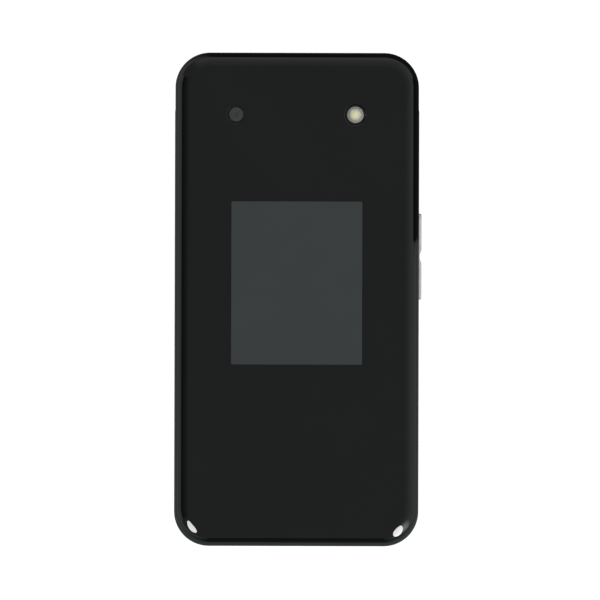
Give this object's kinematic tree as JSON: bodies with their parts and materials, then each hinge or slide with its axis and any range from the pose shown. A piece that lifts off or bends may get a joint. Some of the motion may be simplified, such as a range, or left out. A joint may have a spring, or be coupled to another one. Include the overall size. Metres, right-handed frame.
{
  "type": "flip phone",
  "caption": "Closed clamshell phone: a keypad base and a hinged lid with a main display inside and a small display, camera and flash outside.",
  "frame": {"origin": "on the back face, the face the phone lies on, under the middle of the closed outline", "axes": "+Z out of the lid's outer face, +Y towards the hinge end, +X towards the side with the volume rocker"},
  "size_m": [0.0542, 0.108, 0.0186],
  "materials": {
    "gloss_black": "polished, glossy",
    "window_glass": "polished, smoked",
    "lens_glass": "polished, smoked",
    "black_glass": "polished, smoked",
    "satin_black": "satin, fine spark texture",
    "chassis_plastic": "moulded",
    "key_black": "satin, with pale marks",
    "nav_metal": "satin metallic paint",
    "rocker_silver": "satin silver",
    "rubber_black": "matt",
    "rubber_grey": "matt, translucent",
    "steel": "plain",
    "dome_film": "clear film over metal domes",
    "gold_contact": "plated",
    "board_green": "solder mask",
    "flex_amber": "film",
    "battery_wrap": "can in a printed-free wrap",
    "display_cell": "unlit display cell",
    "flash_lens": "clear dome over a yellow die",
    "module_black": "moulded",
    "antenna_copper": "carrier with plated pattern",
    "tungsten": "sintered"
  },
  "bodies": {
    "base": {"base_front_housing": "satin_black", "base_rear_housing": "chassis_plastic", "battery_cover": "satin_black", "battery": "battery_wrap", "battery_contacts": "gold_contact", "main_board": "board_green", "board_shields": "steel", "dome_sheet": "dome_film", "keypad_mat": "rubber_grey", "loudspeaker": "chassis_plastic", "microphone": "steel", "usb_socket": "steel", "headphone_socket": "chassis_plastic", "sim_holder": "steel", "antenna": "antenna_copper", "base_screws": "steel", "vibration_motor": "steel", "side_switch_flex": "flex_amber", "hinge_cam_shaft": "steel", "hinge_hollow_pin": "steel"},
    "lid": {"outer_cover": "gloss_black", "display_window": "window_glass", "camera_lens": "lens_glass", "flash_lamp": "flash_lens", "outer_display": "display_cell", "camera_module": "module_black", "lid_board": "board_green", "lid_frame": "satin_black", "lid_inner_housing": "satin_black", "main_display": "display_cell", "main_display_lens": "black_glass", "earpiece": "module_black", "earpiece_mesh": "steel", "lid_bumpers": "rubber_black", "lid_screws": "steel", "lid_magnet": "steel", "hinge_cartridge": "steel", "hinge_spring": "steel", "hinge_flex": "flex_amber"},
    "key_1": {"key_1": "key_black"},
    "key_2": {"key_2": "key_black"},
    "key_3": {"key_3": "key_black"},
    "key_4": {"key_4": "key_black"},
    "key_5": {"key_5": "key_black"},
    "key_6": {"key_6": "key_black"},
    "key_7": {"key_7": "key_black"},
    "key_8": {"key_8": "key_black"},
    "key_9": {"key_9": "key_black"},
    "key_star": {"key_star": "key_black"},
    "key_0": {"key_0": "key_black"},
    "key_hash": {"key_hash": "key_black"},
    "key_soft_left": {"key_soft_left": "key_black"},
    "key_soft_right": {"key_soft_right": "key_black"},
    "key_call": {"key_call": "key_black"},
    "key_end": {"key_end": "key_black"},
    "select_key": {"select_key": "nav_metal"},
    "nav_web": {"nav_web": "steel"},
    "nav_ring": {"nav_ring": "nav_metal"},
    "volume_rocker": {"volume_rocker": "rocker_silver"},
    "motor_weight": {"motor_weight": "tungsten"}
  },
  "joints": [
    {"name": "lid_hinge", "type": "hinge", "parent": "base", "child": "lid", "pos_m": [0, 0.049, 0.0117], "axis": [-1, 0, 0], "range_deg": [0, 160]},
    {"name": "key_1_press", "type": "slide", "parent": "base", "child": "key_1", "axis": [0, 0, -1], "range_m": [0, 0.0003], "stiffness_N_per_m": 400},
    {"name": "key_2_press", "type": "slide", "parent": "base", "child": "key_2", "axis": [0, 0, -1], "range_m": [0, 0.0003], "stiffness_N_per_m": 400},
    {"name": "key_3_press", "type": "slide", "parent": "base", "child": "key_3", "axis": [0, 0, -1], "range_m": [0, 0.0003], "stiffness_N_per_m": 400},
    {"name": "key_4_press", "type": "slide", "parent": "base", "child": "key_4", "axis": [0, 0, -1], "range_m": [0, 0.0003], "stiffness_N_per_m": 400},
    {"name": "key_5_press", "type": "slide", "parent": "base", "child": "key_5", "axis": [0, 0, -1], "range_m": [0, 0.0003], "stiffness_N_per_m": 400},
    {"name": "key_6_press", "type": "slide", "parent": "base", "child": "key_6", "axis": [0, 0, -1], "range_m": [0, 0.0003], "stiffness_N_per_m": 400},
    {"name": "key_7_press", "type": "slide", "parent": "base", "child": "key_7", "axis": [0, 0, -1], "range_m": [0, 0.0003], "stiffness_N_per_m": 400},
    {"name": "key_8_press", "type": "slide", "parent": "base", "child": "key_8", "axis": [0, 0, -1], "range_m": [0, 0.0003], "stiffness_N_per_m": 400},
    {"name": "key_9_press", "type": "slide", "parent": "base", "child": "key_9", "axis": [0, 0, -1], "range_m": [0, 0.0003], "stiffness_N_per_m": 400},
    {"name": "key_star_press", "type": "slide", "parent": "base", "child": "key_star", "axis": [0, 0, -1], "range_m": [0, 0.0003], "stiffness_N_per_m": 400},
    {"name": "key_0_press", "type": "slide", "parent": "base", "child": "key_0", "axis": [0, 0, -1], "range_m": [0, 0.0003], "stiffness_N_per_m": 400},
    {"name": "key_hash_press", "type": "slide", "parent": "base", "child": "key_hash", "axis": [0, 0, -1], "range_m": [0, 0.0003], "stiffness_N_per_m": 400},
    {"name": "key_soft_left_press", "type": "slide", "parent": "base", "child": "key_soft_left", "axis": [0, 0, -1], "range_m": [0, 0.0003], "stiffness_N_per_m": 400},
    {"name": "key_soft_right_press", "type": "slide", "parent": "base", "child": "key_soft_right", "axis": [0, 0, -1], "range_m": [0, 0.0003], "stiffness_N_per_m": 400},
    {"name": "key_call_press", "type": "slide", "parent": "base", "child": "key_call", "axis": [0, 0, -1], "range_m": [0, 0.0003], "stiffness_N_per_m": 400},
    {"name": "key_end_press", "type": "slide", "parent": "base", "child": "key_end", "axis": [0, 0, -1], "range_m": [0, 0.0003], "stiffness_N_per_m": 400},
    {"name": "select_key_press", "type": "slide", "parent": "base", "child": "select_key", "axis": [0, 0, -1], "range_m": [0, 0.0003], "stiffness_N_per_m": 400},
    {"name": "nav_tilt_up_down", "type": "hinge", "parent": "base", "child": "nav_web", "pos_m": [0, 0.02583, 0.0087], "axis": [1, 0, 0], "range_deg": [-1.2, 1.2], "stiffness_Nm_per_rad": 0.05},
    {"name": "nav_tilt_left_right", "type": "hinge", "parent": "nav_web", "child": "nav_ring", "pos_m": [0, 0.02583, 0.0087], "axis": [0, 1, 0], "range_deg": [-1.2, 1.2], "stiffness_Nm_per_rad": 0.05},
    {"name": "volume_rock", "type": "hinge", "parent": "base", "child": "volume_rocker", "pos_m": [0.0244, 0.0096, 0.0066], "axis": [0, 0, 1], "range_deg": [-1.5, 1.5], "stiffness_Nm_per_rad": 0.05},
    {"name": "motor_spin", "type": "hinge", "parent": "base", "child": "motor_weight", "pos_m": [0.013, -0.042, 0.00475], "axis": [1, 0, 0], "continuous": true}
  ]
}
